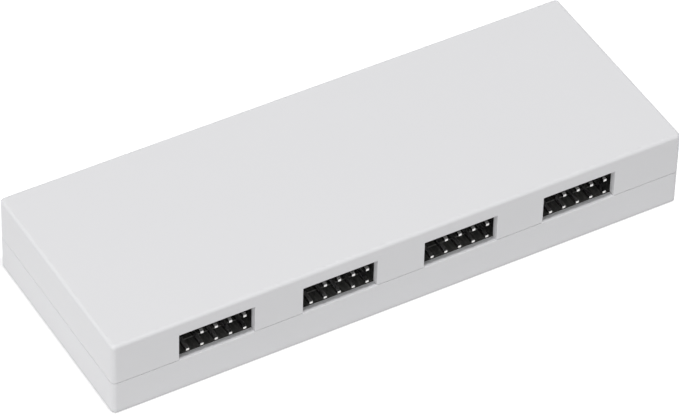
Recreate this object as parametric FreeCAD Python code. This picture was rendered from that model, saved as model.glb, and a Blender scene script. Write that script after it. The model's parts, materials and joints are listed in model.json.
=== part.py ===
import FreeCAD, Part
import math
import os

# Internal hub for a computer case: a two-part moulded box around one circuit board.
# Four keyed pin-header ports look out of the front wall (-Y). The upstream header and the power
# inlet look out of the back wall (+Y). Millimetres, +Z up, origin at the middle of the underside.

Vector = FreeCAD.Vector

# Box
BODY_L = 104.0
BODY_W = 38.8
BODY_H = 14.5
COVER_H = 8.05
WALL_T = 1.2
FLOOR_T = 1.5
ROOF_T = 1.5
CORNER_R = 0.8
TOP_EDGE_R = 0.55
BASE_BREAK = 0.2
INNER_CORNER_R = 0.6
SEAM_BREAK = 0.05
SEAM_GAP = 0.08
MOUTH_BREAK = 0.05

# Tongue on the lower rim, and the rebate that takes it
TONGUE_T = 0.5
TONGUE_H = 0.9
TONGUE_CLEAR = 0.1
TONGUE_STOP = 0.8

# Board
BOARD_T = 1.6
BOARD_DROP = 0.05
BOARD_CLEAR = 0.3
BOARD_CORNER_R = 1.0

# Case screws, the posts under the board and the bosses over it
SCREW_D = 2.0
SCREW_HEAD_D = 3.8
SCREW_HEAD_H = 1.3
SCREW_HEAD_RECESS = 0.25
SCREW_BITE = 3.2
SCREW_DRIVE_W = 0.5
SCREW_DRIVE_L = 2.2
SCREW_DRIVE_H = 0.7
SCREW_CLEAR = 0.2
THREAD_CLEAR = 0.02
PILOT_SPARE = 0.8
POST_D = 5.2
POST_INSET = 3.1

# Ribs that carry the board's edges and hold them down
RIB_T = 1.2
RIB_REACH = 2.2

# Pin headers
PIN_PITCH = 2.54
PIN_COLUMNS = 5
PIN_SIDE = 0.64
PIN_TIP_L = 0.1
PIN_TIP_SIDE = 0.56
PIN_MATE_L = 6.0
PIN_BEND_R = 0.8
PIN_BEND_STEPS = 2
PIN_SLOT_CLEAR = 0.01
TAIL_STEP = 1.5
TAIL_PROUD = 1.2
TAIL_HOLE_D = 1.1
TAIL_HOLE_SIDES = 8
INSULATOR_T = 2.5
INSULATOR_LIFT = 0.15
INSULATOR_FOOT_L = 0.9
INSULATOR_NOTCH = 0.35

# Ports
PORT_COUNT = 4
PORT_STEP = 22.1
PORT_ROW_X = -0.4
PORT_SIDE_CLEAR = 0.4
PORT_TOP_CLEAR = 0.2
PIN_RECESS = 0.35

# Back wall
UPSTREAM_X = -30.0
POWER_X = 6.0
POWER_MOUTH_CLEAR = 0.2

# Power inlet: a shrouded tongue with a row of flat contacts
POWER_L = 24.4
POWER_LIFT = 0.15
POWER_FOOT_L = 1.6
POWER_H = 5.4
POWER_D = 8.6
POWER_SHROUD_T = 0.9
POWER_SOCKET_D = 5.6
POWER_TONGUE_T = 1.25
POWER_TONGUE_L = 20.6
POWER_TONGUE_SHORT = 0.6
POWER_TONGUE_LIFT = 2.1
POWER_KEY_H = 0.9
CONTACT_COUNT = 15
CONTACT_PITCH = 1.27
CONTACT_W = 0.76
CONTACT_T = 0.2
CONTACT_SHORT = 0.5
CONTACT_FOOT_L = 1.2
CONTACT_SLOT_CLEAR = 0.01

# Broken upper edge of the moulded parts on the board
PART_EDGE = 0.12

# Hub controller
CHIP_Y = 0.4
CHIP_L = 10.2
CHIP_W = 5.3
CHIP_T = 1.7
CHIP_LIFT = 0.12
LEAD_COUNT_PER_SIDE = 14
LEAD_PITCH = 0.65
LEAD_W = 0.3
LEAD_T = 0.16
LEAD_REACH = 1.2
LEAD_FOOT = 0.6

# Crystal
CRYSTAL_GAP = 1.3
CRYSTAL_BASE_L = 11.4
CRYSTAL_BASE_W = 4.8
CRYSTAL_BASE_T = 0.8
CRYSTAL_CAN_L = 10.6
CRYSTAL_CAN_W = 4.2
CRYSTAL_CAN_H = 2.7

# Electrolytic capacitors: one to a port, and a larger one at the power inlet
CAP_Y = 0.0
CAP_CAN_D = 5.0
CAP_CAN_H = 4.4
CAP_BASE_T = 0.9
CAP_BASE_MARGIN = 0.3
CAP_BASE_CUT = 0.9
INPUT_CAP_GAP = 0.8
INPUT_CAP_CAN_D = 6.3

# Resettable fuses, surge guards, regulator and chip parts
FUSE_W = 3.2
FUSE_L = 4.5
FUSE_T = 0.9
FUSE_Y = -10.0
FUSE_GAP = 0.75
GUARD_L = 2.9
GUARD_W = 1.6
GUARD_T = 1.0
GUARD_LIFT = 0.1
GUARD_GAP = 0.5
GUARD_Y = -2.0
GUARD_LEAD_PITCH = 1.9
GUARD_LEADS_PER_SIDE = 2
GUARD_LEAD_W = 0.4
GUARD_LEAD_REACH = 0.6
GUARD_LEAD_FOOT = 0.3
REGULATOR_GAP = 2.0
REGULATOR_EDGE = 3.0
REGULATOR_L = 6.5
REGULATOR_W = 3.5
REGULATOR_T = 1.6
REGULATOR_LIFT = 0.1
REGULATOR_LEAD_PITCH = 2.3
REGULATOR_LEAD_W = 0.7
REGULATOR_TAB_W = 3.0
REGULATOR_LEAD_REACH = 1.5
CHIP_PART_L = 1.6
CHIP_PART_W = 0.8
CHIP_PART_T = 0.7
CHIP_PART_END = 0.3
CHIP_PART_END_PROUD = 0.04
CHIP_PART_STEP = 2.0
CHIP_PART_GAP = 0.6
CHIP_PART_COUNT = 4

# Places that follow from the sizes above
SEAM_Z = BODY_H - COVER_H
COVER_RIM_Z = SEAM_Z + SEAM_GAP
BOARD_TOP = SEAM_Z - BOARD_DROP
BOARD_BASE = BOARD_TOP - BOARD_T
BOARD_L = BODY_L - 2 * (WALL_T + BOARD_CLEAR)
BOARD_W = BODY_W - 2 * (WALL_T + BOARD_CLEAR)
ROOF_Z = BODY_H - ROOF_T
FACE_Y = BODY_W / 2
HEADER_L = PIN_COLUMNS * PIN_PITCH
HEADER_H = 2 * PIN_PITCH
HEADER_BASE = BOARD_TOP + INSULATOR_LIFT
PIN_ROWS_Z = [HEADER_BASE + PIN_PITCH * (row + 0.5) for row in range(2)]
TIP_DEPTH = FACE_Y - PIN_RECESS
INSULATOR_FACE = TIP_DEPTH - PIN_MATE_L
INSULATOR_BACK = INSULATOR_FACE - INSULATOR_T
TAIL_DEPTHS = [INSULATOR_BACK - TAIL_STEP - PIN_PITCH * row for row in range(2)]
PORT_XS = [PORT_ROW_X + PORT_STEP * (port - (PORT_COUNT - 1) / 2) for port in range(PORT_COUNT)]
PORT_MOUTH_L = HEADER_L + 2 * PORT_SIDE_CLEAR
PORT_MOUTH_TOP = HEADER_BASE + HEADER_H + PORT_TOP_CLEAR
POWER_MOUTH_L = POWER_L + 2 * POWER_MOUTH_CLEAR
POWER_BASE = BOARD_TOP + POWER_LIFT
POWER_MOUTH_TOP = POWER_BASE + POWER_H + POWER_MOUTH_CLEAR
POWER_FACE = FACE_Y - PIN_RECESS
POSTS = [(side * (BODY_L / 2 - WALL_T - POST_INSET), 0.0) for side in (-1, 1)]
HEAD_SEAT_Z = SCREW_HEAD_RECESS + SCREW_HEAD_H
SCREW_TIP_Z = BOARD_TOP + SCREW_BITE
BACK_MOUTHS = [(UPSTREAM_X, PORT_MOUTH_L, PORT_MOUTH_TOP), (POWER_X, POWER_MOUTH_L, POWER_MOUTH_TOP)]
FRONT_MOUTHS = [(x, PORT_MOUTH_L, PORT_MOUTH_TOP) for x in PORT_XS]
CAP_HALF = CAP_CAN_D / 2 + CAP_BASE_MARGIN
INPUT_CAP_HALF = INPUT_CAP_CAN_D / 2 + CAP_BASE_MARGIN
GUARD_XS = [x - CAP_HALF - GUARD_GAP - GUARD_L / 2 for x in PORT_XS]
CHIP_X = (PORT_XS[1] + CAP_HALF + GUARD_XS[2] - GUARD_L / 2) / 2
CHIP_ROW_STEP_Y = CHIP_W / 2 + LEAD_REACH + CHIP_PART_GAP + CHIP_PART_W / 2
CRYSTAL_X = (UPSTREAM_X + HEADER_L / 2 + POWER_X - POWER_L / 2) / 2
CRYSTAL_Y = CHIP_Y + CHIP_ROW_STEP_Y + CHIP_PART_W / 2 + CRYSTAL_GAP + CRYSTAL_BASE_W / 2
REGULATOR_X = POWER_X + POWER_L / 2 + REGULATOR_GAP + REGULATOR_L / 2
REGULATOR_Y = BOARD_W / 2 - REGULATOR_EDGE - REGULATOR_LEAD_REACH - REGULATOR_W / 2
INPUT_CAP_X = REGULATOR_X + REGULATOR_L / 2 + INPUT_CAP_GAP + INPUT_CAP_HALF
INPUT_CAP_Y = REGULATOR_Y


def block(x0, x1, y0, y1, z0, z1):
    """Box between two corners."""
    return Part.makeBox(x1 - x0, y1 - y0, z1 - z0, Vector(x0, y0, z0))


def centred_block(x, y, length, width, z0, z1):
    """Box centred on a place in plan."""
    return block(x - length / 2, x + length / 2, y - width / 2, y + width / 2, z0, z1)


def post(x, y, diameter, z0, z1):
    """Upright cylinder."""
    return Part.makeCylinder(diameter / 2, z1 - z0, Vector(x, y, z0))


def edges_at(shape, z):
    """Edges of a shape that lie wholly at one height."""
    return [e for e in shape.Edges if all(abs(v.Z - z) < 1e-6 for v in e.Vertexes)]


def upright_edges(shape):
    """Straight edges of a shape that run along Z."""
    return [e for e in shape.Edges if len(e.Vertexes) == 2
            and abs(e.Vertexes[0].X - e.Vertexes[1].X) < 1e-6
            and abs(e.Vertexes[0].Y - e.Vertexes[1].Y) < 1e-6]


def rounded_prism(length, width, radius, z0, z1, x=0.0, y=0.0):
    """Upright prism with a rounded rectangular outline."""
    prism = centred_block(x, y, length, width, z0, z1)
    return prism.makeFillet(radius, upright_edges(prism))


def extruded(points, direction):
    """Prism from a closed outline of straight sides."""
    outline = Part.makePolygon([Vector(*p) for p in points] + [Vector(*points[0])])
    return Part.Face(outline).extrude(Vector(*direction))


def fused(shapes):
    """One solid from several that touch."""
    return shapes[0].multiFuse(shapes[1:]).removeSplitter()


def turned_to_back(shape):
    """A shape made for the front wall, turned half round to face out of the back wall."""
    turned = shape.copy()
    turned.rotate(Vector(0, 0, 0), Vector(0, 0, 1), 180)
    return turned


def moved(shape, x, y=0.0, z=0.0):
    """A shape shifted from where it was made."""
    placed = shape.copy()
    placed.translate(Vector(x, y, z))
    return placed


# Moulded box

def outer_form():
    """The closed outside of the box: corners and top edge rounded, base edge broken."""
    form = rounded_prism(BODY_L, BODY_W, CORNER_R, 0, BODY_H)
    form = form.makeFillet(TOP_EDGE_R, edges_at(form, BODY_H))
    return form.makeChamfer(BASE_BREAK, edges_at(form, 0))


def half_form(z0, z1, rim_z):
    """The part of the outside between two heights, its edge at the rim broken."""
    half = outer_form().common(block(-BODY_L, BODY_L, -BODY_W, BODY_W, z0, z1))
    return half.makeChamfer(SEAM_BREAK, edges_at(half, rim_z))


def cavity(z0, z1):
    """Space inside the walls between two heights."""
    return rounded_prism(BODY_L - 2 * WALL_T, BODY_W - 2 * WALL_T, INNER_CORNER_R, z0, z1)


def mouth_cutter(x, length, top, side):
    """Tool for one opening in the front (side -1) or back (side 1) wall, with a broken outer edge."""
    half, grow, face = length / 2, MOUTH_BREAK, -FACE_Y
    straight = block(-half, half, face, face + 2 * WALL_T, SEAM_Z, top)
    flare = Part.makeWedge(-half - grow, face, SEAM_Z, SEAM_Z, -half,
                           half + grow, face + grow, top + grow, top, half)
    cutter = straight.fuse(flare)
    return moved(cutter if side < 0 else turned_to_back(cutter), x)


def tongue_ring(thickness, height, stop):
    """Ring along the inside of the seam, left out at each opening."""
    inner = cavity(SEAM_Z, SEAM_Z + height)
    outer = rounded_prism(BODY_L - 2 * (WALL_T - thickness), BODY_W - 2 * (WALL_T - thickness),
                          INNER_CORNER_R + thickness, SEAM_Z, SEAM_Z + height)
    ring = outer.cut(inner)
    for side, mouths in ((-1, FRONT_MOUTHS), (1, BACK_MOUTHS)):
        for x, length, _ in mouths:
            half = length / 2 + stop
            y0, y1 = sorted((side * (FACE_Y - 2 * WALL_T), side * FACE_Y))
            ring = ring.cut(block(x - half, x + half, y0, y1, SEAM_Z, SEAM_Z + height))
    return ring


def rib_places(mouths):
    """Middle of each stretch of wall that no opening breaks."""
    end = BODY_L / 2 - WALL_T
    edges = [-end] + [x + s * length / 2 for x, length, _ in mouths for s in (-1, 1)] + [end]
    return [(a + b) / 2 for a, b in zip(edges[::2], edges[1::2])]


def wall_ribs(z0, z1):
    """Ribs on the inside of the front and back walls, between the openings."""
    ribs = []
    for side, mouths in ((-1, FRONT_MOUTHS), (1, BACK_MOUTHS)):
        y0, y1 = sorted((side * (FACE_Y - WALL_T), side * (FACE_Y - WALL_T - RIB_REACH)))
        ribs += [block(x - RIB_T / 2, x + RIB_T / 2, y0, y1, z0, z1) for x in rib_places(mouths)]
    return ribs


def lower_shell():
    """Tray with the board's posts, its ribs, the screw holes and the tongue on its rim."""
    tray = half_form(0, SEAM_Z, SEAM_Z).cut(cavity(FLOOR_T, SEAM_Z))
    posts = [post(x, y, POST_D, FLOOR_T / 2, BOARD_BASE) for x, y in POSTS]
    tray = fused([tray] + posts + wall_ribs(FLOOR_T / 2, BOARD_BASE))
    tray = tray.fuse(tongue_ring(TONGUE_T, TONGUE_H, TONGUE_STOP)).removeSplitter()
    for x, y in POSTS:
        tray = tray.cut(post(x, y, SCREW_D + 2 * SCREW_CLEAR, 0, BOARD_BASE))
        tray = tray.cut(post(x, y, SCREW_HEAD_D + 2 * SCREW_CLEAR, 0, HEAD_SEAT_Z))
    return tray


def upper_shell():
    """Cover with the openings, the bosses that take the screws and the rebate for the tongue."""
    cover = half_form(COVER_RIM_Z, BODY_H, COVER_RIM_Z).cut(cavity(SEAM_Z, ROOF_Z))
    bosses = [post(x, y, POST_D, BOARD_TOP, ROOF_Z + ROOF_T / 2) for x, y in POSTS]
    cover = fused([cover] + bosses + wall_ribs(BOARD_TOP, ROOF_Z + ROOF_T / 2))
    cover = cover.cut(tongue_ring(TONGUE_T + TONGUE_CLEAR, TONGUE_H + TONGUE_CLEAR,
                                  TONGUE_STOP - TONGUE_CLEAR))
    for side, mouths in ((-1, FRONT_MOUTHS), (1, BACK_MOUTHS)):
        for x, length, top in mouths:
            cover = cover.cut(mouth_cutter(x, length, top, side))
    for x, y in POSTS:
        cover = cover.cut(post(x, y, SCREW_D + 2 * THREAD_CLEAR, BOARD_TOP, SCREW_TIP_Z + PILOT_SPARE))
    return cover


def case_screw(x, y):
    """Flat-headed self-tapping screw, driven up from the underside."""
    head = post(x, y, SCREW_HEAD_D, SCREW_HEAD_RECESS, HEAD_SEAT_Z)
    shank = post(x, y, SCREW_D, HEAD_SEAT_Z, SCREW_TIP_Z)
    drive_top = SCREW_HEAD_RECESS + SCREW_DRIVE_H
    cross = [centred_block(x, y, SCREW_DRIVE_L, SCREW_DRIVE_W, SCREW_HEAD_RECESS, drive_top),
             centred_block(x, y, SCREW_DRIVE_W, SCREW_DRIVE_L, SCREW_HEAD_RECESS, drive_top)]
    return fused([head, shank]).cut(fused(cross))


# Pin headers, made at x = 0 to face out of the front wall

def header_columns():
    """Place across the header of each column of pins."""
    return [PIN_PITCH * (column - (PIN_COLUMNS - 1) / 2) for column in range(PIN_COLUMNS)]


def header_pins():
    """(across, row) of each pin. The upper row leaves its first place empty as the key."""
    return [(x, row) for row in range(2) for column, x in enumerate(header_columns())
            if not (row == 1 and column == 0)]


def insulator():
    """Moulded block with a notch between each two columns, two feet, and a slot for each pin."""
    half, cut = PIN_PITCH / 2, INSULATOR_NOTCH
    top = HEADER_BASE + HEADER_H
    upper = [point for x in reversed(header_columns())
             for point in ((x + half, top - cut), (x + half - cut, top), (x - half + cut, top))]
    outline = [(-HEADER_L / 2, HEADER_BASE), (HEADER_L / 2, HEADER_BASE)] + upper
    outline.append((-HEADER_L / 2, top - cut))
    body = extruded([(x, -INSULATOR_FACE, z) for x, z in outline], (0, INSULATOR_T, 0))
    foot_x = (HEADER_L - INSULATOR_FOOT_L) / 2
    feet = [block(s * foot_x - INSULATOR_FOOT_L / 2, s * foot_x + INSULATOR_FOOT_L / 2,
                  -INSULATOR_FACE, -INSULATOR_BACK, BOARD_TOP, HEADER_BASE) for s in (-1, 1)]
    body = fused([body] + feet)
    slot = PIN_SIDE + 2 * PIN_SLOT_CLEAR
    for x, row in header_pins():
        z = PIN_ROWS_Z[row]
        body = body.cut(block(x - slot / 2, x + slot / 2, -INSULATOR_FACE, -INSULATOR_BACK,
                              z - slot / 2, z + slot / 2))
    return body


def pin_tip(x, y, z):
    """Square taper from the end of a pin's shaft to its tip."""
    wide, narrow = PIN_SIDE / 2, PIN_TIP_SIDE / 2
    tip = Part.makeWedge(-wide, 0, -wide, -narrow, -narrow, wide, PIN_TIP_L, wide, narrow, narrow)
    tip.rotate(Vector(0, 0, 0), Vector(0, 0, 1), 180)
    return moved(tip, x, y, z)


def bent_pin(x, row):
    """Square pin that runs in from its tapered tip, turns down and ends below the board."""
    z = PIN_ROWS_Z[row]
    tail_y = -TAIL_DEPTHS[row]
    start_y = -TIP_DEPTH + PIN_TIP_L
    end_z = BOARD_BASE - TAIL_PROUD
    half = PIN_SIDE / 2
    bend_y, bend_z = tail_y - PIN_BEND_R, z - PIN_BEND_R
    angles = [math.pi / 2 * step / PIN_BEND_STEPS for step in range(PIN_BEND_STEPS + 1)]

    def bend(radius):
        return [(bend_y + radius * math.sin(a), bend_z + radius * math.cos(a)) for a in angles]

    outer = [(start_y, z + half)] + bend(PIN_BEND_R + half) + [(tail_y + half, end_z)]
    inner = [(start_y, z - half)] + bend(PIN_BEND_R - half) + [(tail_y - half, end_z)]
    shaft = extruded([(x - half, y, h) for y, h in outer + inner[::-1]], (PIN_SIDE, 0, 0))
    return fused([shaft, pin_tip(x, start_y, z)])


def pin_set():
    """The nine pins of one header, each a separate solid."""
    return Part.makeCompound([bent_pin(x, row) for x, row in header_pins()])


def tail_hole(x, y):
    """Drill for one pin's tail, with few sides because there are so many."""
    turn = 2 * math.pi / TAIL_HOLE_SIDES
    radius = TAIL_HOLE_D / 2 / math.cos(turn / 2)
    angles = [turn * (n + 0.5) for n in range(TAIL_HOLE_SIDES)]
    outline = [(x + radius * math.cos(a), y + radius * math.sin(a), BOARD_BASE) for a in angles]
    return extruded(outline, (0, 0, BOARD_T))


def tail_holes():
    """Drills for the tails of one header's pins."""
    return [tail_hole(x, -TAIL_DEPTHS[row]) for x, row in header_pins()]


# Power inlet, made at x = 0 to face out of the front wall

def contact_columns():
    """Place across the inlet of each contact."""
    return [CONTACT_PITCH * (n - (CONTACT_COUNT - 1) / 2) for n in range(CONTACT_COUNT)]


def contact(x):
    """Flat contact along the top of the tongue, through the back wall and down to the board."""
    z = POWER_BASE + POWER_TONGUE_LIFT + POWER_TONGUE_T
    front = -POWER_FACE + POWER_TONGUE_SHORT + CONTACT_SHORT
    back = -POWER_FACE + POWER_D
    foot = back + CONTACT_T + CONTACT_FOOT_L
    profile = [(front, z), (front, z - CONTACT_T), (back, z - CONTACT_T), (back, BOARD_TOP),
               (foot, BOARD_TOP), (foot, BOARD_TOP + CONTACT_T),
               (back + CONTACT_T, BOARD_TOP + CONTACT_T), (back + CONTACT_T, z)]
    return extruded([(x - CONTACT_W / 2, y, h) for y, h in profile], (CONTACT_W, 0, 0))


def contact_slot(x):
    """Groove in the tongue, and the hole behind it through the back wall, for one contact."""
    z = POWER_BASE + POWER_TONGUE_LIFT + POWER_TONGUE_T
    clear = CONTACT_SLOT_CLEAR
    half = CONTACT_W / 2 + clear
    front = -POWER_FACE + POWER_TONGUE_SHORT + CONTACT_SHORT - clear
    floor_y, back = -POWER_FACE + POWER_SOCKET_D, -POWER_FACE + POWER_D
    groove = block(x - half, x + half, front, floor_y, z - CONTACT_T - clear, z)
    hole = block(x - half, x + half, floor_y, back, z - CONTACT_T - clear, z + clear)
    return groove.fuse(hole)


def power_housing():
    """Shroud on two feet, with a keyed tongue standing in it, slotted for the contacts."""
    front, back = -POWER_FACE, -POWER_FACE + POWER_D
    floor_y = front + POWER_SOCKET_D
    base, top = POWER_BASE, POWER_BASE + POWER_H
    shell = block(-POWER_L / 2, POWER_L / 2, front, back, base, top)
    socket = block(-POWER_L / 2 + POWER_SHROUD_T, POWER_L / 2 - POWER_SHROUD_T, front, floor_y,
                   base + POWER_SHROUD_T, top - POWER_SHROUD_T)
    tongue_z = base + POWER_TONGUE_LIFT
    tongue_y = front + POWER_TONGUE_SHORT
    half = POWER_TONGUE_L / 2
    tongue = block(-half, half, tongue_y, floor_y, tongue_z, tongue_z + POWER_TONGUE_T)
    key = block(half - POWER_TONGUE_T, half, tongue_y, floor_y, tongue_z - POWER_KEY_H, tongue_z)
    foot_x = (POWER_L - POWER_FOOT_L) / 2
    feet = [block(s * foot_x - POWER_FOOT_L / 2, s * foot_x + POWER_FOOT_L / 2, floor_y, back,
                  BOARD_TOP, base + POWER_SHROUD_T) for s in (-1, 1)]
    housing = fused([shell.cut(socket), tongue, key] + feet)
    return housing.cut(fused([contact_slot(x) for x in contact_columns()]))


# Board and the parts soldered to it

def circuit_board():
    """Rounded board with holes for the screws and for every pin tail."""
    board = rounded_prism(BOARD_L, BOARD_W, BOARD_CORNER_R, BOARD_BASE, BOARD_TOP)
    drills = [post(x, y, SCREW_D + 2 * SCREW_CLEAR, BOARD_BASE, BOARD_TOP) for x, y in POSTS]
    for x in PORT_XS:
        drills += [moved(hole, x) for hole in tail_holes()]
    drills += [moved(turned_to_back(hole), UPSTREAM_X) for hole in tail_holes()]
    return board.cut(Part.makeCompound(drills))


def gull_lead(x, y, side, width, reach, foot, height):
    """Lead that leaves a body at a height, steps down and lies flat on the board."""
    knee, toe = reach - foot - LEAD_T, reach
    profile = [(0, height), (0, height + LEAD_T), (knee + LEAD_T, height + LEAD_T), (knee + LEAD_T, LEAD_T),
               (toe, LEAD_T), (toe, 0), (knee, 0), (knee, height)]
    points = [(x - width / 2, y + side * out, BOARD_TOP + up) for out, up in profile]
    return extruded(points, (width, 0, 0))


def lead_rows(x, y, body_w, count, pitch, width, reach, foot, height):
    """Leads along both long sides of a body."""
    offsets = [pitch * (n - (count - 1) / 2) for n in range(count)]
    return [gull_lead(x + dx, y + side * body_w / 2, side, width, reach, foot, height)
            for side in (-1, 1) for dx in offsets]


def hub_controller():
    """Moulded chip body."""
    base = BOARD_TOP + CHIP_LIFT
    body = centred_block(CHIP_X, CHIP_Y, CHIP_L, CHIP_W, base, base + CHIP_T)
    return body.makeChamfer(PART_EDGE, edges_at(body, base + CHIP_T))


def hub_controller_leads():
    """Gull-wing leads of the hub controller."""
    return Part.makeCompound(lead_rows(CHIP_X, CHIP_Y, CHIP_W, LEAD_COUNT_PER_SIDE, LEAD_PITCH, LEAD_W,
                                       LEAD_REACH, LEAD_FOOT, CHIP_LIFT + CHIP_T / 2))


def crystal_base():
    """Flat moulded foot of the crystal."""
    return centred_block(CRYSTAL_X, CRYSTAL_Y, CRYSTAL_BASE_L, CRYSTAL_BASE_W,
                         BOARD_TOP, BOARD_TOP + CRYSTAL_BASE_T)


def crystal_can():
    """Round-ended metal can on the crystal's foot."""
    z0 = BOARD_TOP + CRYSTAL_BASE_T
    z1 = z0 + CRYSTAL_CAN_H
    straight = CRYSTAL_CAN_L - CRYSTAL_CAN_W
    ends = [post(CRYSTAL_X + s * straight / 2, CRYSTAL_Y, CRYSTAL_CAN_W, z0, z1) for s in (-1, 1)]
    return fused([centred_block(CRYSTAL_X, CRYSTAL_Y, straight, CRYSTAL_CAN_W, z0, z1)] + ends)


def capacitor_base(x, y, can_d):
    """Square foot of an electrolytic capacitor, with two corners cut off."""
    half, cut = can_d / 2 + CAP_BASE_MARGIN, CAP_BASE_CUT
    outline = [(-half, -half), (half - cut, -half), (half, -half + cut), (half, half - cut),
               (half - cut, half), (-half, half)]
    return extruded([(x + dx, y + dy, BOARD_TOP) for dx, dy in outline], (0, 0, CAP_BASE_T))


def capacitor_can(x, y, can_d):
    """Drawn can of an electrolytic capacitor."""
    return post(x, y, can_d, BOARD_TOP + CAP_BASE_T, BOARD_TOP + CAP_BASE_T + CAP_CAN_H)


def port_fuse(x):
    """Flat resettable fuse beside a port's header."""
    fuse_x = x - HEADER_L / 2 - FUSE_GAP - FUSE_W / 2
    fuse = centred_block(fuse_x, FUSE_Y, FUSE_W, FUSE_L, BOARD_TOP, BOARD_TOP + FUSE_T)
    return fuse.makeChamfer(PART_EDGE, edges_at(fuse, BOARD_TOP + FUSE_T))


def port_surge_guard(x):
    """Small moulded surge guard for a port's data lines."""
    base = BOARD_TOP + GUARD_LIFT
    body = centred_block(x, GUARD_Y, GUARD_L, GUARD_W, base, base + GUARD_T)
    return body.makeChamfer(PART_EDGE, edges_at(body, base + GUARD_T))


def surge_guard_leads():
    """Leads of all the surge guards."""
    leads = []
    for x in GUARD_XS:
        leads += lead_rows(x, GUARD_Y, GUARD_W, GUARD_LEADS_PER_SIDE, GUARD_LEAD_PITCH,
                           GUARD_LEAD_W, GUARD_LEAD_REACH, GUARD_LEAD_FOOT, GUARD_LIFT + GUARD_T / 2)
    return Part.makeCompound(leads)


def regulator():
    """Moulded voltage regulator."""
    base = BOARD_TOP + REGULATOR_LIFT
    body = centred_block(REGULATOR_X, REGULATOR_Y, REGULATOR_L, REGULATOR_W, base, base + REGULATOR_T)
    return body.makeChamfer(PART_EDGE, edges_at(body, base + REGULATOR_T))


def regulator_leads():
    """Three leads on one side of the regulator and its wide cooling tab on the other."""
    height = REGULATOR_LIFT + REGULATOR_T / 2
    foot = REGULATOR_LEAD_REACH / 2
    half = REGULATOR_W / 2
    leads = [gull_lead(REGULATOR_X + REGULATOR_LEAD_PITCH * n, REGULATOR_Y - half, -1, REGULATOR_LEAD_W,
                       REGULATOR_LEAD_REACH, foot, height) for n in (-1, 0, 1)]
    leads.append(gull_lead(REGULATOR_X, REGULATOR_Y + half, 1, REGULATOR_TAB_W,
                           REGULATOR_LEAD_REACH, foot, height))
    return Part.makeCompound(leads)


def chip_part(x, y):
    """Chip resistor or capacitor: a small block with two plated ends."""
    body = centred_block(x, y, CHIP_PART_L - 2 * CHIP_PART_END, CHIP_PART_W,
                         BOARD_TOP + CHIP_PART_END_PROUD, BOARD_TOP + CHIP_PART_T)
    end_x = (CHIP_PART_L - CHIP_PART_END) / 2
    ends = [centred_block(x + s * end_x, y, CHIP_PART_END, CHIP_PART_W + 2 * CHIP_PART_END_PROUD,
                          BOARD_TOP, BOARD_TOP + CHIP_PART_T + CHIP_PART_END_PROUD) for s in (-1, 1)]
    return fused([body] + ends)


def chip_row(side):
    """Row of chip parts along one side of the hub controller."""
    y = CHIP_Y + side * CHIP_ROW_STEP_Y
    xs = [PORT_ROW_X + CHIP_PART_STEP * (n - (CHIP_PART_COUNT - 1) / 2) for n in range(CHIP_PART_COUNT)]
    return Part.makeCompound([chip_part(x, y) for x in xs])


def all_nodes():
    """Every sub-part by name."""
    nodes = {
        "upper_shell": upper_shell(),
        "lower_shell": lower_shell(),
        "case_screws": Part.makeCompound([case_screw(x, y) for x, y in POSTS]),
        "circuit_board": circuit_board(),
        "upstream_insulator": moved(turned_to_back(insulator()), UPSTREAM_X),
        "upstream_pins": moved(turned_to_back(pin_set()), UPSTREAM_X),
        "power_inlet_housing": moved(turned_to_back(power_housing()), POWER_X),
        "power_inlet_contacts": moved(turned_to_back(
            Part.makeCompound([contact(x) for x in contact_columns()])), POWER_X),
        "hub_controller": hub_controller(),
        "hub_controller_leads": hub_controller_leads(),
        "crystal_base": crystal_base(),
        "crystal_can": crystal_can(),
        "input_capacitor_base": capacitor_base(INPUT_CAP_X, INPUT_CAP_Y, INPUT_CAP_CAN_D),
        "input_capacitor_can": capacitor_can(INPUT_CAP_X, INPUT_CAP_Y, INPUT_CAP_CAN_D),
        "regulator": regulator(),
        "regulator_leads": regulator_leads(),
        "surge_guard_leads": surge_guard_leads(),
        "chip_resistors": chip_row(-1),
        "chip_capacitors": chip_row(1),
    }
    for port, x in enumerate(PORT_XS, start=1):
        nodes[f"port_{port}_insulator"] = moved(insulator(), x)
        nodes[f"port_{port}_pins"] = moved(pin_set(), x)
        nodes[f"port_{port}_capacitor_base"] = capacitor_base(x, CAP_Y, CAP_CAN_D)
        nodes[f"port_{port}_capacitor_can"] = capacitor_can(x, CAP_Y, CAP_CAN_D)
        nodes[f"port_{port}_fuse"] = port_fuse(x)
        nodes[f"port_{port}_surge_guard"] = port_surge_guard(GUARD_XS[port - 1])
    return nodes


def main():
    """Builds every sub-part and writes one STEP file for each."""
    os.makedirs("parts", exist_ok=True)
    for name, shape in all_nodes().items():
        shape.exportStep(os.path.join("parts", name + ".step"))
        print(f"{name}: {len(shape.Solids)} solids, valid {shape.isValid()}, {shape.Volume:.2f} mm3")


if __name__ == "__main__":
    main()
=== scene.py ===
"""Looks of an internal hub: a white moulded box with four keyed pin headers in its front wall.

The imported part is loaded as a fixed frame, in metres. Every finish is a small frozen class that makes
one material. Every sub-assembly is a class that dresses its own pieces. The headers' pins are built here,
because their tips taper further than the frame's. The studio holds the floor, the lamps and the camera.
"""

from __future__ import annotations

import functools
import itertools
import json
import logging
import math
from collections.abc import Mapping, Sequence
from dataclasses import dataclass
from enum import Enum
from typing import Any, ClassVar, Protocol

import bmesh
import bpy
from mathutils import Matrix, Vector

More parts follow.
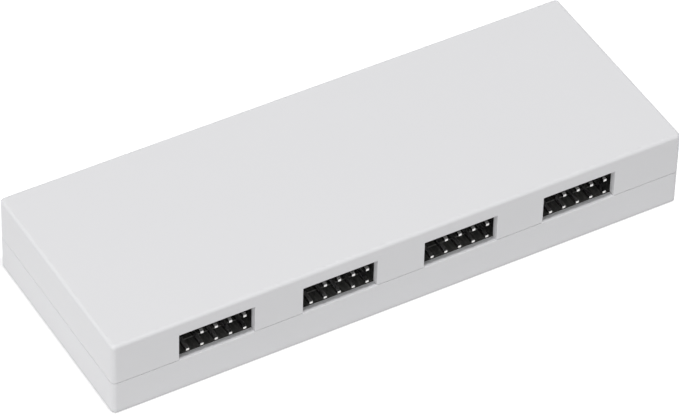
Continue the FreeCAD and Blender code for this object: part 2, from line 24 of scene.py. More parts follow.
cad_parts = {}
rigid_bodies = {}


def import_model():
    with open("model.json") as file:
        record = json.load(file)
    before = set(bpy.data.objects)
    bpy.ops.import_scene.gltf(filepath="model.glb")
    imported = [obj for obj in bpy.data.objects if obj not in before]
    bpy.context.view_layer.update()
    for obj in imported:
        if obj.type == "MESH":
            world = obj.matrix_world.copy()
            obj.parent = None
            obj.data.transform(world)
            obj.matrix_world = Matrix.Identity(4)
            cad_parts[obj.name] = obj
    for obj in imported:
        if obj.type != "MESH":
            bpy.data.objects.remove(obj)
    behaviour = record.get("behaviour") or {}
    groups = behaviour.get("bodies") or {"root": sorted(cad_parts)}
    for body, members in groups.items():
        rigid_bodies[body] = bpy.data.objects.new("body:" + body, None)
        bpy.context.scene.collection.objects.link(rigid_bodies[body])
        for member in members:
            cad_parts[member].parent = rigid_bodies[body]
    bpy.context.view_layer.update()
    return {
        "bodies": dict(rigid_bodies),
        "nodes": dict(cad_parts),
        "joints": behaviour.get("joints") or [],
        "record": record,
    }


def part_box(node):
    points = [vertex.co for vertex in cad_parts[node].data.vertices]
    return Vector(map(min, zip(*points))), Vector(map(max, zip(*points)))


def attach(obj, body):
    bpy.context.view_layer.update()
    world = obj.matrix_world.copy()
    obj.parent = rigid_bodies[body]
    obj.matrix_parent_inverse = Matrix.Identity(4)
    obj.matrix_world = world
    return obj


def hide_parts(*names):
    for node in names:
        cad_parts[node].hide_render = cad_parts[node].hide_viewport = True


LOG = logging.getLogger("hub")
PHOTO_WIDTH_PX = 679
SENSOR_WIDTH_MM = 36.0
MM = 0.001
PORTS = range(1, 5)
BODY = "root"

# Middle of a noise's values, and octaves of finer marks in it
NOISE_MIDDLE = 0.5
PLAIN_OCTAVES = 0.0
SOFT_OCTAVES = 2.0
FINE_OCTAVES = 3.0

# Places of a Mix node's sockets for colours
MIX_FACTOR = 0
MIX_LOW = 6
MIX_HIGH = 7
MIX_RESULT = 2

Colour = tuple[float, float, float]
Triple = tuple[float, float, float]


class Grain(Enum):
    """How the fine marks in a metal surface run."""

    DRAWN_ALONG_Y = (1.0, 0.06, 1.0)
    ROLLED_ALONG_X = (0.06, 1.0, 1.0)
    EVEN = (1.0, 1.0, 1.0)


@dataclass(frozen=True)
class Shade:
    """A socket in a material's nodes that takes part in Python expressions.

    Args:
        graph: The graph that owns the socket.
        socket: The socket that carries the value.
    """

    graph: Graph
    socket: bpy.types.NodeSocket

    def math(self, operation: str, *others: Operand) -> Shade:
        """Adds one Math node with this value first."""
        return self.graph.math(operation, self, *others)

    def __add__(self, other: Operand) -> Shade:
        """This value plus another."""
        return self.math("ADD", other)

    def __radd__(self, other: Operand) -> Shade:
        """Another value plus this one."""
        return self.graph.math("ADD", other, self)

    def __sub__(self, other: Operand) -> Shade:
        """This value less another."""
        return self.math("SUBTRACT", other)

    def __rsub__(self, other: Operand) -> Shade:
        """Another value less this one."""
        return self.graph.math("SUBTRACT", other, self)

    def __mul__(self, other: Operand) -> Shade:
        """This value times another."""
        return self.math("MULTIPLY", other)

    def __rmul__(self, other: Operand) -> Shade:
        """Another value times this one."""
        return self.graph.math("MULTIPLY", other, self)

    def __truediv__(self, other: Operand) -> Shade:
        """This value divided by another."""
        return self.math("DIVIDE", other)

    def __rtruediv__(self, other: Operand) -> Shade:
        """Another value divided by this one."""
        return self.graph.math("DIVIDE", other, self)

    def __gt__(self, other: Operand) -> Shade:
        """1 where this value is the greater, 0 elsewhere."""
        return self.math("GREATER_THAN", other)

    def __lt__(self, other: Operand) -> Shade:
        """1 where this value is the lesser, 0 elsewhere."""
        return self.math("LESS_THAN", other)


Operand = Shade | float


class Graph:
    """The nodes of one material or of the world."""

    def __init__(self, tree: bpy.types.NodeTree) -> None:
        """Empties the tree.

        Args:
            tree: The node tree to fill.
        """
        self.tree = tree
        tree.nodes.clear()

    def node(self, kind: str, settings: Mapping[str, Any] | None = None,
             inputs: Mapping[str | int, Any] | None = None, output: str | int = 0) -> Shade:
        """Adds any node.

        Args:
            kind: The node's type.
            settings: Its properties, set first. "stops" are a ramp's (place, colour) pairs.
            inputs: The value or the link of each socket, by name or number.
            output: The socket to carry on from, by name or number.

        Returns:
            The chosen output, or the first input of a node that has no outputs.
        """
        made = self.tree.nodes.new(kind)
        for name, value in (settings or {}).items():
            if name == "stops":
                self._set_stops(made, value)
            else:
                setattr(made, name, value)
        for key, value in (inputs or {}).items():
            if isinstance(value, Shade):
                self.tree.links.new(value.socket, made.inputs[key])
            else:
                made.inputs[key].default_value = value
        return Shade(self, made.outputs[output] if made.outputs else made.inputs[0])

    @staticmethod
    def _set_stops(ramp: bpy.types.Node, stops: Sequence[tuple[float, Colour]]) -> None:
        """Gives a colour ramp its stops.

        Args:
            ramp: The ramp's node.
            stops: Place and colour of each stop, in rising order.
        """
        elements = ramp.color_ramp.elements
        while len(elements) < len(stops):
            elements.new(1.0)
        for element, (place, colour) in zip(elements, stops):
            element.position = place
            element.color = (*colour, 1.0)

    def math(self, operation: str, *values: Operand) -> Shade:
        """Adds one Math node with the values in order."""
        return self.node("ShaderNodeMath", {"operation": operation}, dict(enumerate(values)))

    def ramp(self, value: Shade, *stops: tuple[float, Colour]) -> Shade:
        """Turns a value into a colour by a ramp's stops, in rising order."""
        return self.node("ShaderNodeValToRGB", {"stops": stops}, {"Fac": value})

    def place(self) -> Shade:
        """Position on the part in metres, in the frame's own axes."""
        return self.node("ShaderNodeTexCoord", output="Object")

    def axes(self) -> tuple[Shade, Shade, Shade]:
        """X, Y and Z of the position, each as a value."""
        split = self.node("ShaderNodeSeparateXYZ", inputs={0: self.place()})
        return tuple(Shade(self, socket) for socket in split.socket.node.outputs)

    def noise(self, size: float, octaves: float = SOFT_OCTAVES, stretch: Triple = Grain.EVEN.value) -> Shade:
        """Soft random value from 0 to 1.

        Args:
            size: Length of one mark in metres.
            octaves: Octaves of finer marks.
            stretch: Share of the frequency along each axis, so a low share draws marks out.

        Returns:
            The noise's value.
        """
        scaled = self.node("ShaderNodeVectorMath", {"operation": "MULTIPLY"}, {0: self.place(), 1: stretch})
        inputs = {"Vector": scaled, "Scale": 1.0 / size, "Detail": octaves}
        return self.node("ShaderNodeTexNoise", inputs=inputs)

    def blend(self, mask: Operand, low: Shade | Colour, high: Shade | Colour) -> Shade:
        """Mixes two colours.

        Args:
            mask: 0 for the first colour, 1 for the second.
            low: The first colour.
            high: The second colour.

        Returns:
            The mixed colour.
        """
        ends = [end if isinstance(end, Shade) else (*end, 1.0) for end in (low, high)]
        inputs = {MIX_FACTOR: mask, MIX_LOW: ends[0], MIX_HIGH: ends[1]}
        return self.node("ShaderNodeMix", {"data_type": "RGBA"}, inputs, MIX_RESULT)

    def bump(self, height: Shade, depth: float) -> Shade:
        """Normal roughened by a height of about 0 to 1, which stands for a depth in metres."""
        return self.node("ShaderNodeBump", inputs={"Strength": 1.0, "Distance": depth, "Height": height})

    def surface(self, **inputs: Any) -> None:
        """Ends a material in one Principled shader.

        Args:
            inputs: The value or the link of each socket, with _ in place of a space.
        """
        named = {name.replace("_", " "): value for name, value in inputs.items()}
        shader = self.node("ShaderNodeBsdfPrincipled", inputs=named)
        self.node("ShaderNodeOutputMaterial", inputs={"Surface": shader})


class Finish(Protocol):
    """A finish that can fill a material's nodes."""

    def fill(self, graph: Graph) -> None:
        """Adds the finish's nodes."""


@dataclass(frozen=True)
class MouldedPlastic:
    """Moulded plastic with the fine grain that a spark-eroded mould leaves.

    Args:
        colour: Colour of the plastic.
        roughness: Middle roughness.
        spread: How far roughness strays from the middle.
        grain: Size of one grain in metres.
        depth: Depth of the grain in metres.
        mottle: Share by which the colour drifts over the piece.
        drift: Size of the drift's patches in metres.
    """

    colour: Colour
    roughness: float
    spread: float
    grain: float
    depth: float
    mottle: float
    drift: float

    def fill(self, graph: Graph) -> None:
        """Adds the grain, the drift of colour and the gloss.

        Args:
            graph: The material's nodes.
        """
        grain = graph.noise(self.grain, FINE_OCTAVES)
        drift = graph.noise(self.drift)
        darker = tuple(channel * (1.0 - self.mottle) for channel in self.colour)
        graph.surface(
            Base_Color=graph.blend(drift, darker, self.colour),
            Roughness=self.roughness + (grain - NOISE_MIDDLE) * self.spread,
            Normal=graph.bump(grain, self.depth),
        )


@dataclass(frozen=True)
class PlatedMetal:
    """Plated metal with fine marks from drawing, rolling or turning.

    Args:
        colour: Colour of the clean metal.
        dull: Colour where the plating is dull.
        roughness: Middle roughness.
        spread: How far roughness strays from the middle.
        grain: How the marks run.
        mark: Width of one mark in metres.
        depth: Depth of the marks in metres.
    """

    # Size of a dull patch in marks, and the noise's values that part dull metal from clean
    PATCH_MARKS: ClassVar[float] = 6.0
    DULL_BELOW: ClassVar[float] = 0.38
    CLEAN_ABOVE: ClassVar[float] = 0.62

    colour: Colour
    dull: Colour
    roughness: float
    spread: float
    grain: Grain
    mark: float
    depth: float

    def tone(self, graph: Graph) -> Shade:
        """Colour of the metal with its dull patches, which are some marks wide."""
        patches = graph.noise(self.mark * self.PATCH_MARKS)
        return graph.ramp(patches, (self.DULL_BELOW, self.dull), (self.CLEAN_ABOVE, self.colour))

    def fill(self, graph: Graph) -> None:
        """Adds the marks, the metal's colour and the gloss.

        Args:
            graph: The material's nodes.
        """
        marks = graph.noise(self.mark, stretch=self.grain.value)
        graph.surface(
            Base_Color=self.tone(graph),
            Metallic=1.0,
            Roughness=self.roughness + (marks - NOISE_MIDDLE) * self.spread,
            Normal=graph.bump(marks, self.depth),
        )


@dataclass(frozen=True)
class PinsWithPaintedShade(PlatedMetal):
    """Plated pins with bright tips, whose shafts behind the tips are painted darker: painted shade of the
    dark recess they run into.

    Args:
        shaft: Colour of the shafts, painted shade of the recess behind the front wall.
        header: Node of one header's pins. The tips of the others are as far from the middle.
        tip: Length of the bright tip in metres.
    """

    shaft: Colour
    header: str
    tip: float

    def tone(self, graph: Graph) -> Shade:
        """Colour of the tips, and painted shade on the shafts behind them.

        Args:
            graph: The material's nodes.

        Returns:
            The colour.
        """
        _, y, _ = graph.axes()
        low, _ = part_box(self.header)
        # Beyond the tips the pins take the shaft colour: painted shade of the recess, not a change in the
        # metal.
        tips = y.math("ABSOLUTE") > -low[1] - self.tip
        return graph.blend(tips, self.shaft, super().tone(graph))


@dataclass(frozen=True)
class MaskedBoard:
    """Circuit board under solder mask, with faint copper tracks and a printed outline at each header.

    Args:
        mask: Colour of the mask over bare laminate.
        track: Colour of the mask over copper.
        step: Distance between tracks in metres.
        share: Share of the step that is copper.
        depth: Height of a track under the mask in metres.
        weave: Size of the glass cloth's threads in metres.
        roughness: Roughness of the mask.
        ink: Colour of the printed outlines.
        line: Width of a printed line in metres.
        reach: How far an outline stands out in front of its header in metres.
        headers: Nodes of the header blocks that have an outline.
    """

    # A track's wander, in steps along it and across it
    WANDER_LENGTH: ClassVar[float] = 8.0
    WANDER_WIDTH: ClassVar[float] = 4.0
    # The cloth's part in the roughness, and in the relief, where a track's part is 1
    CLOTH_GLOSS: ClassVar[float] = 0.04
    CLOTH_RELIEF: ClassVar[float] = 0.15

    mask: Colour
    track: Colour
    step: float
    share: float
    depth: float
    weave: float
    roughness: float
    ink: Colour
    line: float
    reach: float
    headers: tuple[str, ...]

    def outline(self, x: Shade, y: Shade, header: str) -> Shade:
        """Printed outline that opens towards one header's block.

        Args:
            x: X of the point in metres.
            y: Y of the point in metres.
            header: The block's node.

        Returns:
            1 on the printed lines, 0 elsewhere.
        """
        low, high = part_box(header)
        front = low[1] - self.reach
        half = (high[0] - low[0]) / 2
        across = (x - (low[0] + high[0]) / 2).math("ABSOLUTE")
        cross_line = ((y - front).math("ABSOLUTE") < self.line / 2) * (across < half)
        side_lines = ((across - half).math("ABSOLUTE") < self.line / 2) * (y > front) * (y < low[1])
        return cross_line.math("MAXIMUM", side_lines)

    def fill(self, graph: Graph) -> None:
        """Adds the tracks, the printed outlines, the cloth's relief and the gloss.

        Args:
            graph: The material's nodes.
        """
        x, y, _ = graph.axes()
        wander = graph.noise(self.step * self.WANDER_LENGTH, PLAIN_OCTAVES)
        run = ((x + wander * self.step * self.WANDER_WIDTH) / self.step).math("FRACT")
        tracks = run < self.share
        cloth = (x / self.weave).math("SINE") * (y / self.weave).math("SINE")
        outlines = [self.outline(x, y, header) for header in self.headers]
        printed = functools.reduce(lambda one, other: one.math("MAXIMUM", other), outlines)
        graph.surface(
            Base_Color=graph.blend(printed, graph.blend(tracks, self.mask, self.track), self.ink),
            Roughness=self.roughness + cloth * self.CLOTH_GLOSS,
            Normal=graph.bump(tracks + cloth * self.CLOTH_RELIEF, self.depth),
        )


@dataclass(frozen=True)
class ChipCeramic:
    """Row of chip parts: ceramic bodies with plated ends.

    Args:
        colour: Colour of the body.
        plating: Colour of the ends.
        row: Node that holds the parts, in a row along X.
        count: Number of parts in the row.
        step: Distance between parts in metres.
        body: Length of a body between its plated ends in metres.
        roughness: Roughness of the body.
    """

    HALF_STEP: ClassVar[float] = 0.5
    # Size and depth of the speckle in metres, and its part in the roughness
    SPECKLE: ClassVar[float] = 0.08 * MM
    SPECKLE_DEPTH: ClassVar[float] = 0.003 * MM
    SPECKLE_SPREAD: ClassVar[float] = 0.1
    # How much smoother the plated ends are than the body
    END_GLOSS: ClassVar[float] = 0.1

    colour: Colour
    plating: Colour
    row: str
    count: int
    step: float
    body: float
    roughness: float

    def fill(self, graph: Graph) -> None:
        """Adds the ends, by each part's place in the row, and a speckle.

        Args:
            graph: The material's nodes.
        """
        low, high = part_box(self.row)
        first = (low[0] + high[0] - (self.count - 1) * self.step) / 2
        x, _, _ = graph.axes()
        along = ((x - first) / self.step + self.HALF_STEP).math("FRACT") - self.HALF_STEP
        ends = along.math("ABSOLUTE") * self.step > self.body / 2
        speckle = graph.noise(self.SPECKLE)
        gloss = self.roughness - ends * self.END_GLOSS
        graph.surface(
            Base_Color=graph.blend(ends, graph.blend(speckle, self.colour, self.plating), self.plating),
            Metallic=ends,
            Roughness=gloss + (speckle - NOISE_MIDDLE) * self.SPECKLE_SPREAD,
            Normal=graph.bump(speckle, self.SPECKLE_DEPTH),
        )


FINISHES: dict[str, Finish] = {
    "case_plastic": MouldedPlastic(
        colour=(0.80, 0.80, 0.815), roughness=0.46, spread=0.12,
        grain=0.16 * MM, depth=0.006 * MM, mottle=0.012, drift=9 * MM,
    ),
    "header_plastic": MouldedPlastic(
        colour=(0.016, 0.016, 0.018), roughness=0.42, spread=0.14,
        grain=0.12 * MM, depth=0.006 * MM, mottle=0.2, drift=2 * MM,
    ),
    "chip_mould": MouldedPlastic(
        colour=(0.030, 0.030, 0.033), roughness=0.62, spread=0.12,
        grain=0.06 * MM, depth=0.008 * MM, mottle=0.15, drift=1 * MM,
    ),
    "fuse_body": MouldedPlastic(
        colour=(0.05, 0.16, 0.08), roughness=0.50, spread=0.12,
        grain=0.09 * MM, depth=0.006 * MM, mottle=0.2, drift=1 * MM,
    ),
    # pin_tin's shaft colour is painted shade: the pins darkened where they run into the recess behind the
    # front wall.
    "pin_tin": PinsWithPaintedShade(
        colour=(0.66, 0.655, 0.645), dull=(0.58, 0.575, 0.565), roughness=0.15, spread=0.10,
        grain=Grain.DRAWN_ALONG_Y, mark=0.05 * MM, depth=0.0006 * MM,
        shaft=(0.34, 0.338, 0.332), header="port_1_pins", tip=0.12 * MM,
    ),
    "contact_gold": PlatedMetal(
        colour=(0.90, 0.70, 0.34), dull=(0.74, 0.55, 0.25), roughness=0.24, spread=0.12,
        grain=Grain.DRAWN_ALONG_Y, mark=0.05 * MM, depth=0.002 * MM,
    ),
    "lead_tin": PlatedMetal(
        colour=(0.80, 0.80, 0.79), dull=(0.62, 0.62, 0.62), roughness=0.34, spread=0.14,
        grain=Grain.EVEN, mark=0.05 * MM, depth=0.003 * MM,
    ),
    "screw_steel": PlatedMetal(
        colour=(0.70, 0.70, 0.71), dull=(0.52, 0.52, 0.53), roughness=0.33, spread=0.18,
        grain=Grain.EVEN, mark=0.07 * MM, depth=0.006 * MM,
    ),
    "can_aluminium": PlatedMetal(
        colour=(0.83, 0.83, 0.84), dull=(0.70, 0.70, 0.71), roughness=0.30, spread=0.14,
        grain=Grain.ROLLED_ALONG_X, mark=0.06 * MM, depth=0.003 * MM,
    ),
    "crystal_steel": PlatedMetal(
        colour=(0.78, 0.77, 0.74), dull=(0.64, 0.63, 0.60), roughness=0.26, spread=0.12,
        grain=Grain.ROLLED_ALONG_X, mark=0.06 * MM, depth=0.003 * MM,
    ),
    "board_laminate": MaskedBoard(
        mask=(0.092, 0.092, 0.088), track=(0.119, 0.119, 0.113), step=0.9 * MM, share=0.35,
        depth=0.02 * MM, weave=0.09 * MM, roughness=0.38,
        ink=(0.38, 0.38, 0.37), line=0.25 * MM, reach=2.5 * MM,
        headers=tuple(f"port_{port}_insulator" for port in PORTS),
    ),
    "resistor_body": ChipCeramic(
        colour=(0.02, 0.02, 0.024), plating=(0.78, 0.78, 0.77), row="chip_resistors", count=4,
        step=2.0 * MM, body=1.0 * MM, roughness=0.3,
    ),
    "ceramic_body": ChipCeramic(
        colour=(0.42, 0.30, 0.17), plating=(0.78, 0.78, 0.77), row="chip_capacitors", count=4,
        step=2.0 * MM, body=1.0 * MM, roughness=0.5,
    ),
}


class Dresser:
    """Makes each finish's material once and gives it to the pieces that take it."""

    def __init__(self, frame: Mapping[str, Any]) -> None:
        """Notes which slot each node takes.
        """
        self.nodes = frame["nodes"]
        self.slots = {part["node"]: part["material_slot"] for part in frame["record"]["subparts"]}
        self.made: dict[str, bpy.types.Material] = {}

    def material(self, slot: str) -> bpy.types.Material:
        """Material of one slot, made at its first use.

        Args:
            slot: The record's name for the slot.

        Returns:
            The material.
        """
        if slot not in self.made:
            made = bpy.data.materials.new(slot)
            made.use_nodes = True
            FINISHES[slot].fill(Graph(made.node_tree))
            self.made[slot] = made
        return self.made[slot]

    def dress(self, node: str) -> None:
        """Gives one node its slot's material."""
        self.finish(self.nodes[node], self.slots[node])

    def finish(self, piece: bpy.types.Object, slot: str) -> None:
        """Gives one piece a slot's material.

        Args:
            piece: The piece.
            slot: The record's name for the slot.
        """
        piece.data.materials.clear()
        piece.data.materials.append(self.material(slot))
        LOG.info("%s takes %s", piece.name, slot)


@dataclass(frozen=True)
class PinSet:
    """Right-angle pins of one keyed header, whose tips are coined to a taper.

    They stand where the header's node has its pins, with the same section, bends and tails.

    Args:
        node: Node that holds the header's pins.
        faces_back: True where the tips look out of the back wall.
        columns: Number of columns.
        key_columns: How many first columns are empty as the key, in the upper and in the lower row.
        pitch: Distance between columns, rows and tails in metres.
        side: Side of a pin's square section in metres.
        taper: Length of a tip's taper in metres.
        end_width: Width of a tip's flat end in metres.
        end_height: Height of a tip's flat end in metres.
        bend: Radius of the bend, along the middle of a pin, in metres.
        bend_steps: Number of flats round the bend.
    """

    node: str
    faces_back: bool = False
    columns: int = 5
    key_columns: tuple[int, int] = (1, 0)
    pitch: float = 2.54 * MM
    side: float = 0.64 * MM
    taper: float = 0.50 * MM
    end_width: float = 0.54 * MM
    end_height: float = 0.40 * MM
    bend: float = 0.80 * MM
    bend_steps: int = 6

    @staticmethod
    def section(y: float, z: float, turn: float, width: float, height: float) -> list[Vector]:
        """Corners of one cross-section at x = 0.

        Args:
            y: Y of its middle.
            z: Z of its middle.
            turn: How far the pin has turned down there, in radians.
            width: Its width.
            height: Its height, square to the pin's run.

        Returns:
            The four corners, in order round the section.
        """
        rise = Vector((0.0, math.sin(turn), math.cos(turn))) * height / 2
        reach = Vector((width / 2, 0.0, 0.0))
        middle = Vector((0.0, y, z))
        return [middle - reach - rise, middle + reach - rise, middle + reach + rise, middle - reach + rise]

    def sections(self, tip: float, tail: float, axis: float, foot: float) -> list[list[Vector]]:
        """Cross-sections of one pin from its tip to its foot.

        Args:
            tip: Y of the tip's flat end.
            tail: Y of the tail's middle.
            axis: Z of the shaft's middle.
            foot: Z of the tail's end.

        Returns:
            The corners of each section.
        """
        made = [self.section(tip, axis, 0.0, self.end_width, self.end_height),
                self.section(tip + self.taper, axis, 0.0, self.side, self.side)]
        for step in range(self.bend_steps + 1):
            turn = math.pi / 2 * step / self.bend_steps
            y = tail - self.bend + self.bend * math.sin(turn)
            z = axis - self.bend + self.bend * math.cos(turn)
            made.append(self.section(y, z, turn, self.side, self.side))
        made.append(self.section(tail, foot, math.pi / 2, self.side, self.side))
        return made

    @staticmethod
    def add_pin(edit: bmesh.types.BMesh, x: float, sections: Sequence[Sequence[Vector]]) -> None:
        """Adds one closed pin.

        Args:
            edit: The mesh to add to.
            x: Place of the pin across the header.
            sections: The corners of its cross-sections.
        """
        across = Vector((x, 0.0, 0.0))
        rings = [[edit.verts.new(corner + across) for corner in section] for section in sections]
        for ring, following in itertools.pairwise(rings):
            for corner in range(len(ring)):
                edit.faces.new((ring[corner - 1], ring[corner], following[corner], following[corner - 1]))
        edit.faces.new(rings[0])
        edit.faces.new(rings[-1])

    def mesh(self) -> bpy.types.Mesh:
        """Makes all the pins in one mesh, facing the front, and turns them if they face the back.

        Returns:
            The mesh, in the frame's own axes.
        """
        turn = Matrix.Rotation(math.pi if self.faces_back else 0.0, 4, "Z")
        corners = [turn @ Vector(corner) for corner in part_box(self.node)]
        low = Vector(map(min, *corners))
        high = Vector(map(max, *corners))
        first = (low.x + high.x - (self.columns - 1) * self.pitch) / 2
        edit = bmesh.new()
        for row, key_columns in enumerate(self.key_columns):
            inset = self.side / 2 + row * self.pitch
            sections = self.sections(low.y, high.y - inset, high.z - inset, low.z)
            for column in range(key_columns, self.columns):
                self.add_pin(edit, first + column * self.pitch, sections)
        bmesh.ops.recalc_face_normals(edit, faces=edit.faces)
        edit.transform(turn.inverted())
        made = bpy.data.meshes.new(f"{self.node}_coined")
        edit.to_mesh(made)
        edit.free()
        return made

    def build(self, dresser: Dresser) -> None:
        """Puts the pins in place of the node's own and finishes them.

        Args:
            dresser: What finishes them.
        """
        made = self.mesh()
        piece = bpy.data.objects.new(made.name, made)
        bpy.context.scene.collection.objects.link(piece)
        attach(piece, BODY)
        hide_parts(self.node)
        dresser.finish(piece, dresser.slots[self.node])


@dataclass
class Case:
    """The two moulded shells and the screws that hold them.

    Args:
        nodes: Nodes of the pieces.
    """

    nodes: tuple[str, ...] = ("upper_shell", "lower_shell", "case_screws")

    def dress(self, dresser: Dresser) -> None:
        """Finishes the shells and the screws."""
        for node in self.nodes:
            dresser.dress(node)


@dataclass
class PortSet:
    """The four ports in the front wall, with what protects and feeds each of them.

    Args:
        pieces: Names of each port's pieces besides its pins, as they end their nodes' names.
    """

    pieces: tuple[str, ...] = ("insulator", "capacitor_base", "capacitor_can", "fuse", "surge_guard")

    def dress(self, dresser: Dresser) -> None:
        """Builds the pins of every port and finishes its other pieces.

        Args:
            dresser: What finishes them.
        """
        for port in PORTS:
            PinSet(f"port_{port}_pins").build(dresser)
            for piece in self.pieces:
                dresser.dress(f"port_{port}_{piece}")


@dataclass
class BackPanel:
    """The upstream header and the power inlet in the back wall.

    Args:
        nodes: Nodes of the pieces besides the header's pins.
        pins: The header's pins.
    """

    nodes: tuple[str, ...] = ("upstream_insulator", "power_inlet_housing", "power_inlet_contacts")
    pins: PinSet = PinSet("upstream_pins", faces_back=True)

    def dress(self, dresser: Dresser) -> None:
        """Finishes the two connectors and builds the header's pins.

        Args:
            dresser: What finishes them.
        """
        for node in self.nodes:
            dresser.dress(node)
        self.pins.build(dresser)


@dataclass
class Board:
    """The circuit board and the parts on it that no one port owns.

    Args:
        nodes: Nodes of the board and the parts.
    """

    nodes: tuple[str, ...] = (
        "circuit_board", "hub_controller", "hub_controller_leads", "crystal_base", "crystal_can",
        "input_capacitor_base", "input_capacitor_can", "regulator", "regulator_leads",
        "surge_guard_leads", "chip_resistors", "chip_capacitors",
    )

    def dress(self, dresser: Dresser) -> None:
        """Finishes the board and its parts."""
        for node in self.nodes:
            dresser.dress(node)


@dataclass(frozen=True)
class Lamp:
    """One rectangular lamp that faces the part.

    Args:
        name: The lamp's name.
        azimuth: Bearing in degrees, 0 in front of the ports and 90 at the part's right end.
        elevation: Height in degrees.
        distance: Distance from the part in metres.
        size: Side of the lamp in metres.
        power: Power in watts.
    """

    name: str
    azimuth: float
    elevation: float
    distance: float
    size: float
    power: float

    def build(self) -> None:
        """Adds the lamp to the scene."""
        data = bpy.data.lights.new(self.name, "AREA")
        data.size = self.size
        data.energy = self.power
        lamp = bpy.data.objects.new(self.name, data)
        away = direction(self.azimuth, self.elevation)
        lamp.location = away * self.distance
        lamp.rotation_euler = away.to_track_quat("Z", "Y").to_euler()
        bpy.context.scene.collection.objects.link(lamp)


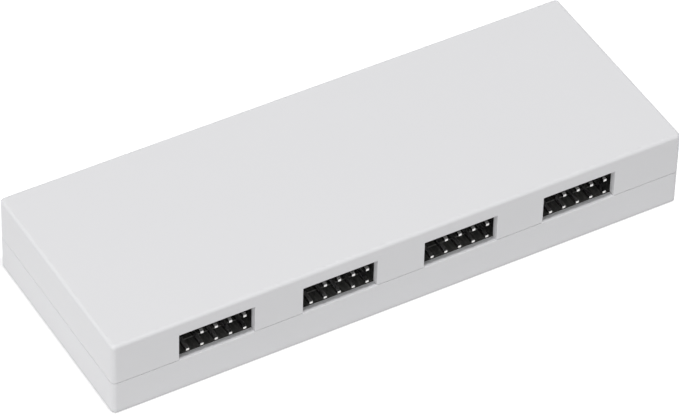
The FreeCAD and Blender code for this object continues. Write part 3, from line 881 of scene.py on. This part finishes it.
@dataclass
class Studio:
    """White floor, even sky, two lamps and the camera at the photograph's angle.

    Args:
        azimuth: Bearing of the camera in degrees, as a lamp's.
        elevation: Height of the camera in degrees.
        roll: Turn of the camera about its own line of sight in degrees.
        distance: Distance of the camera from its aim in metres.
        aim: Point that the camera looks at, in metres.
        focal_px: Focal length in pixels of the photograph.
        view_reach: Distance that the camera sees to in metres.
        floor_half: Half the side of the floor in metres.
        floor_white: Colour of the floor.
        floor_glow: How bright the floor is by itself at the part, seen directly.
        floor_far_glow: The same far from the part, where the lamps reach it less.
        floor_far: Distance from the part where the far glow begins, in metres.
        floor_drop: Gap between the part and the floor in metres.
        floor_touch: Length in metres under which a ray passes through the floor.
        sky: Strength of the sky as a light.
        lamps: The lamps.
    """

    azimuth: float = -30.729
    elevation: float = 42.779
    roll: float = 1.662
    distance: float = 786.26 * MM
    aim: Triple = (-1.34 * MM, -1.36 * MM, 7.25 * MM)
    focal_px: float = 4881.1
    view_reach: float = 10.0
    floor_half: float = 3.0
    floor_white: Colour = (0.80, 0.80, 0.80)
    floor_glow: float = 0.50
    floor_far_glow: float = 0.70
    floor_far: float = 1.5
    floor_drop: float = 0.05 * MM
    floor_touch: float = 1.0 * MM
    sky: float = 0.37
    lamps: tuple[Lamp, ...] = (
        Lamp("over", azimuth=0.0, elevation=84.0, distance=1.2, size=0.08, power=5.75),
        Lamp("left", azimuth=-68.0, elevation=28.0, distance=1.2, size=0.9, power=4.95),
    )

    def build(self) -> None:
        """Makes the whole studio."""
        bpy.context.scene.view_settings.view_transform = "Standard"
        self.make_floor()
        self.make_sky()
        for lamp in self.lamps:
            lamp.build()
        self.make_camera()

    @staticmethod
    def seen_directly(graph: Graph) -> Shade:
        """Tells the rays that the eye follows from those that only carry light.

        Args:
            graph: The nodes to add to.

        Returns:
            1 for a ray from the camera, off a gloss or through glass, 0 for any other.
        """
        kinds = ("Is Camera Ray", "Is Glossy Ray", "Is Transmission Ray")
        rays = [graph.node("ShaderNodeLightPath", output=kind) for kind in kinds]
        return (rays[0] + rays[1] + rays[2]).math("MINIMUM", 1.0)

    def floor_surface(self, graph: Graph) -> Shade:
        """Matt white that glows to the eye, more so far from the part.

        Args:
            graph: The floor's nodes.

        Returns:
            The shader.
        """
        matt = graph.node("ShaderNodeBsdfDiffuse", inputs={"Color": (*self.floor_white, 1.0)})
        x, y, _ = graph.axes()
        far = ((x * x + y * y).math("SQRT") / self.floor_far).math("MINIMUM", 1.0)
        strength = self.floor_glow + far * (self.floor_far_glow - self.floor_glow)
        glow = graph.node("ShaderNodeEmission", inputs={"Color": self.seen_directly(graph) * strength})
        return graph.node("ShaderNodeAddShader", inputs={0: matt, 1: glow})

    def make_floor(self) -> None:
        """Adds a floor that is white to the eye and still takes the part's shadow.

        It lies just under the part. It is clear from below, and to rays that have come less than
        floor_touch, so that the part's base is lit as its sides are and can be looked at.
        """
        half = self.floor_half
        level = -self.floor_drop
        mesh = bpy.data.meshes.new("floor")
        mesh.from_pydata([(-half, -half, level), (half, -half, level), (half, half, level),
                          (-half, half, level)], [], [(0, 1, 2, 3)])
        material = bpy.data.materials.new("floor_white")
        material.use_nodes = True
        graph = Graph(material.node_tree)
        below = graph.node("ShaderNodeNewGeometry", output="Backfacing")
        close = graph.node("ShaderNodeLightPath", output="Ray Length") < self.floor_touch
        clear = graph.node("ShaderNodeBsdfTransparent")
        inputs = {0: below.math("MAXIMUM", close), 1: self.floor_surface(graph), 2: clear}
        shown = graph.node("ShaderNodeMixShader", inputs=inputs)
        graph.node("ShaderNodeOutputMaterial", inputs={"Surface": shown})
        mesh.materials.append(material)
        floor = bpy.data.objects.new("floor", mesh)
        bpy.context.scene.collection.objects.link(floor)

    def make_sky(self) -> None:
        """Makes the world even, white to the eye and softer as a light."""
        world = bpy.data.worlds.new("sky")
        world.use_nodes = True
        bpy.context.scene.world = world
        graph = Graph(world.node_tree)
        strength = self.sky + self.seen_directly(graph) * (1.0 - self.sky)
        background = graph.node("ShaderNodeBackground", inputs={"Color": strength})
        graph.node("ShaderNodeOutputWorld", inputs={"Surface": background})

    def make_camera(self) -> None:
        """Adds the camera and makes it the scene's own."""
        data = bpy.data.cameras.new("camera")
        data.sensor_width = SENSOR_WIDTH_MM
        data.lens = self.focal_px * SENSOR_WIDTH_MM / PHOTO_WIDTH_PX
        data.clip_end = self.view_reach
        camera = bpy.data.objects.new("camera", data)
        back = direction(self.azimuth, self.elevation)
        level = Vector((-back.y, back.x, 0.0)).normalized()
        right = Matrix.Rotation(math.radians(self.roll), 3, back) @ level
        pose = Matrix((right, back.cross(right), back)).transposed().to_4x4()
        pose.translation = Vector(self.aim) + back * self.distance
        camera.matrix_world = pose
        bpy.context.scene.collection.objects.link(camera)
        bpy.context.scene.camera = camera


def direction(azimuth: float, elevation: float) -> Vector:
    """Unit vector from the part towards a bearing and a height.

    Args:
        azimuth: Bearing in degrees, 0 in front of the ports and 90 at the part's right end.
        elevation: Height in degrees.

    Returns:
        The vector.
    """
    turn = math.radians(azimuth)
    rise = math.radians(elevation)
    return Vector((math.sin(turn) * math.cos(rise), -math.cos(turn) * math.cos(rise), math.sin(rise)))


def main() -> None:
    """Loads the frame, dresses every piece and sets the studio."""
    logging.basicConfig(level=logging.INFO, format="%(name)s: %(message)s")
    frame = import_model()
    dresser = Dresser(frame)
    for assembly in (Case(), PortSet(), BackPanel(), Board()):
        assembly.dress(dresser)
        LOG.info("%s is dressed", type(assembly).__name__)
    Studio().build()


if __name__ == "__main__":
    main()
